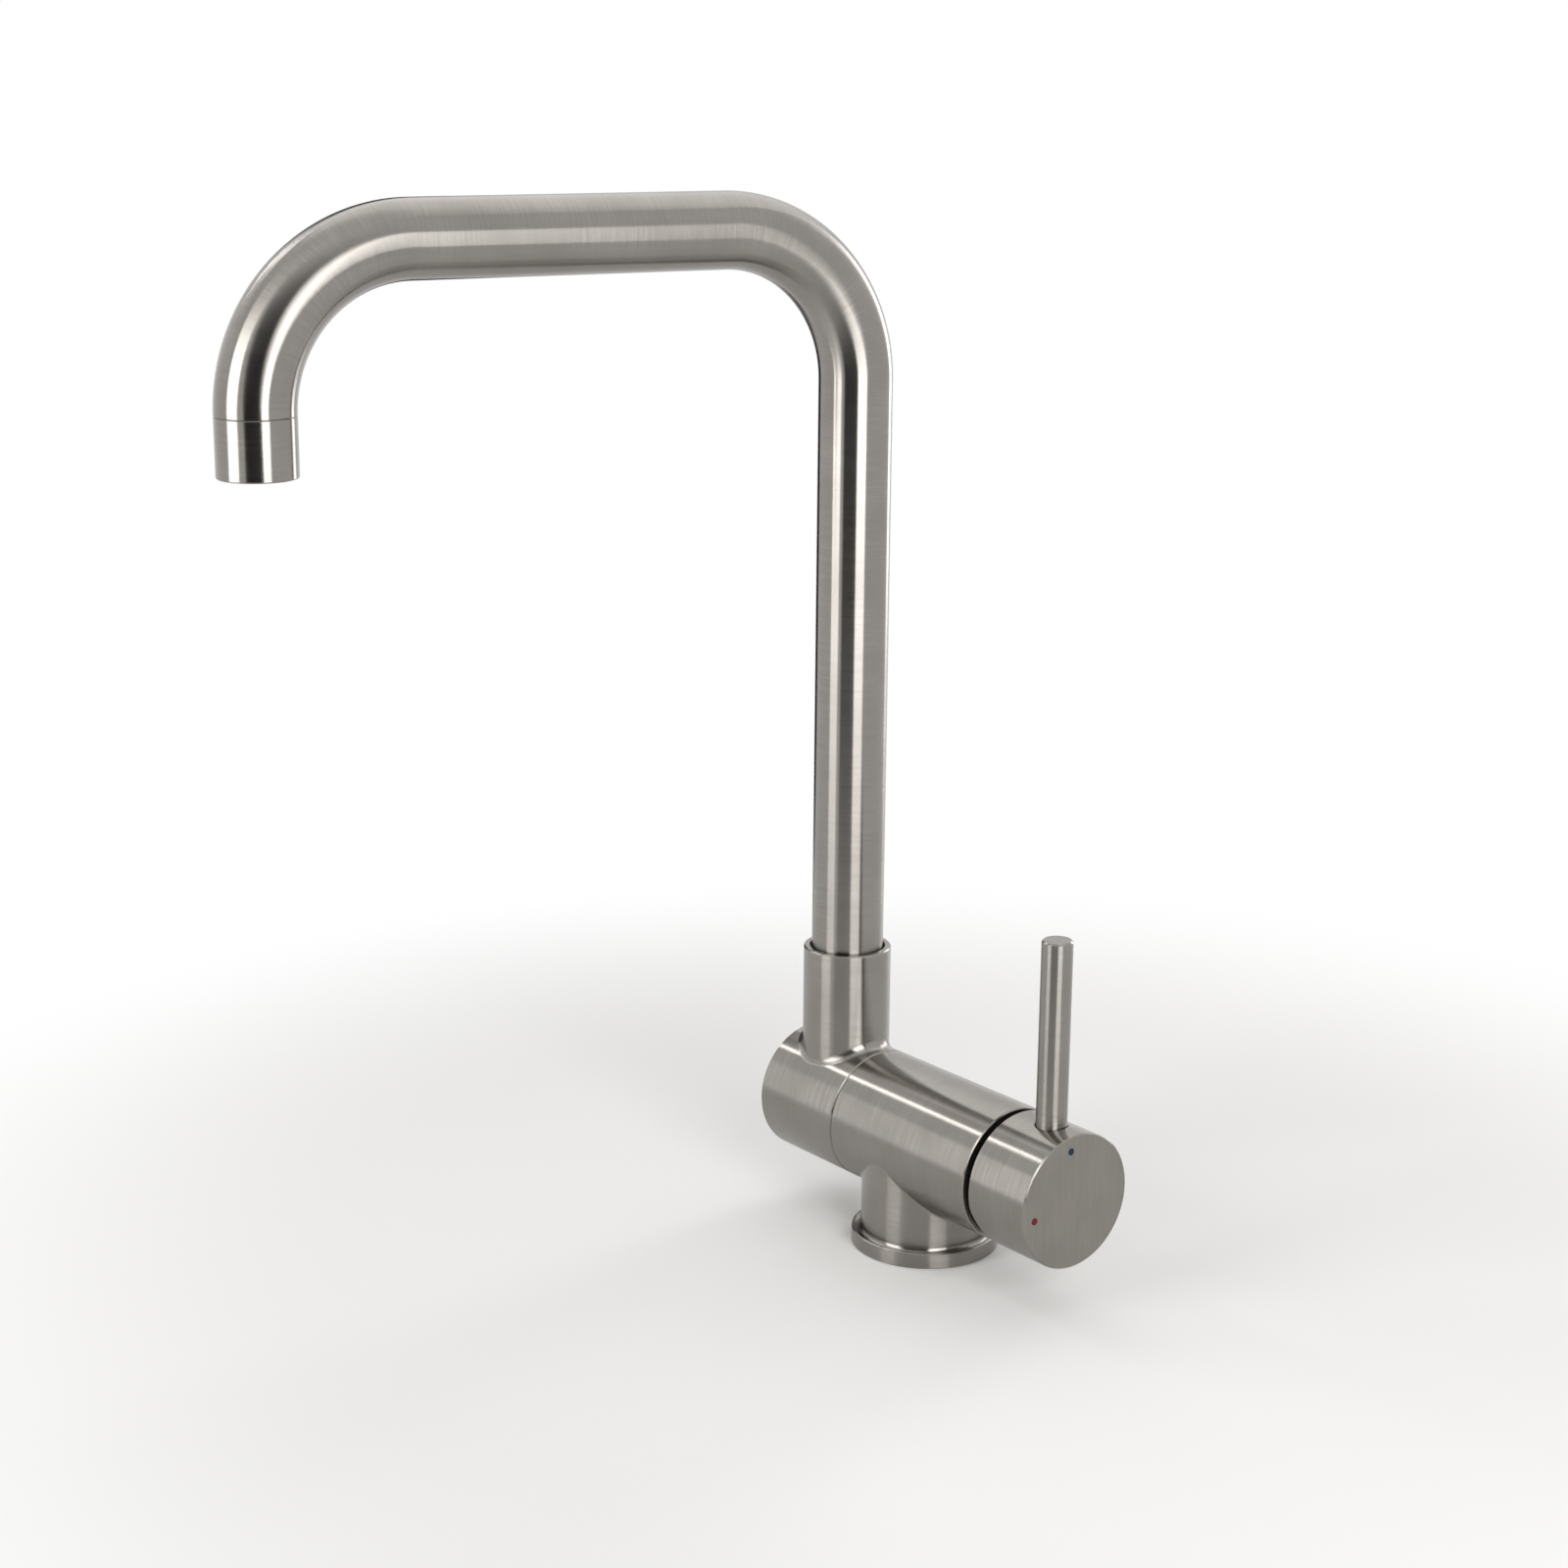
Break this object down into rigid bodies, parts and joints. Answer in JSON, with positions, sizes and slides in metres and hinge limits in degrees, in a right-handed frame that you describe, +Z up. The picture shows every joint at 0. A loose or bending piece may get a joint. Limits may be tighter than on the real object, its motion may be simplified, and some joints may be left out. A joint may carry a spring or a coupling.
{
  "type": "folding mixer tap",
  "caption": "Folding single-lever mixer tap: a tall swivel spout on a knuckle that folds flat beside a side-handled barrel on a short pillar and base flange.",
  "frame": {"origin": "centre of the base flange's underside, where the tap sits on the worktop, on the pillar's axis", "axes": "+Z up along the pillar, +X along the barrel to the handle; the spout is pictured standing up with its arm towards -Y, and folds down towards -Y"},
  "size_m": [0.1596, 0.246, 0.4048],
  "materials": {
    "brushed_steel": "brushed, warm grey stainless steel",
    "dark_steel": "plain machined steel",
    "brass": "machined",
    "black_rubber": "matt",
    "black_plastic": "matt",
    "white_plastic": "satin",
    "ceramic": "lapped",
    "blue_enamel": "gloss",
    "red_enamel": "gloss"
  },
  "bodies": {
    "body": {"tap_body": "brushed_steel", "base_flange": "brushed_steel", "base_gasket": "black_rubber", "mounting_shank": "brass", "rubber_washer": "black_rubber", "steel_washer": "dark_steel", "lock_nut": "brass", "hinge_axle": "brass", "axle_o_rings": "black_rubber", "seam_washer": "white_plastic", "thrust_washer": "white_plastic", "spring_washer": "dark_steel", "axle_nut": "brass", "fold_stop_pin": "dark_steel", "cartridge_base": "black_plastic", "cartridge_seals": "black_rubber", "fixed_disc": "ceramic", "cartridge_housing": "black_plastic", "cartridge_nut": "brass", "dust_ring": "black_plastic"},
    "knuckle": {"knuckle": "brushed_steel", "knuckle_end_cap": "brushed_steel", "spout_seat_ring": "white_plastic", "spout_guide_bush": "black_plastic", "spout_retaining_screw": "dark_steel"},
    "spout": {"spout_tube": "brushed_steel", "spout_spigot": "brass", "spigot_o_rings": "black_rubber", "aerator_sleeve": "brushed_steel", "aerator_housing": "white_plastic", "aerator_diffuser": "white_plastic", "aerator_screen": "white_plastic", "aerator_gasket": "black_rubber"},
    "rotor": {"cartridge_rotor": "white_plastic", "stem_pivot_pin": "dark_steel"},
    "discs": {"moving_disc": "ceramic", "disc_carrier": "black_plastic"},
    "handle": {"lever_stem": "dark_steel", "handle_cap": "brushed_steel", "lever": "brushed_steel", "handle_grub_screw": "dark_steel", "cold_mark": "blue_enamel", "hot_mark": "red_enamel"}
  },
  "joints": [
    {"name": "spout_fold", "type": "hinge", "parent": "body", "child": "knuckle", "pos_m": [-0.0444, 0, 0.0388], "axis": [1, 0, 0], "range_deg": [0, 90]},
    {"name": "spout_swivel", "type": "hinge", "parent": "knuckle", "child": "spout", "pos_m": [-0.0444, 0, 0.0663], "axis": [0, 0, 1], "continuous": true},
    {"name": "lever_temperature", "type": "hinge", "parent": "body", "child": "rotor", "pos_m": [0.0352, 0, 0.0388], "axis": [1, 0, 0], "range_deg": [0, 90]},
    {"name": "lever_flow", "type": "hinge", "parent": "rotor", "child": "handle", "pos_m": [0.0352, 0, 0.0388], "axis": [0, 1, 0], "range_deg": [0, 15]},
    {"name": "disc_slide", "type": "slide", "parent": "rotor", "child": "discs", "axis": [0, 0, 1], "range_m": [0, 0.0026]}
  ],
  "couplings": [
    {"joint": "disc_slide", "follows": "lever_flow", "m_per_rad": 0.0095}
  ]
}
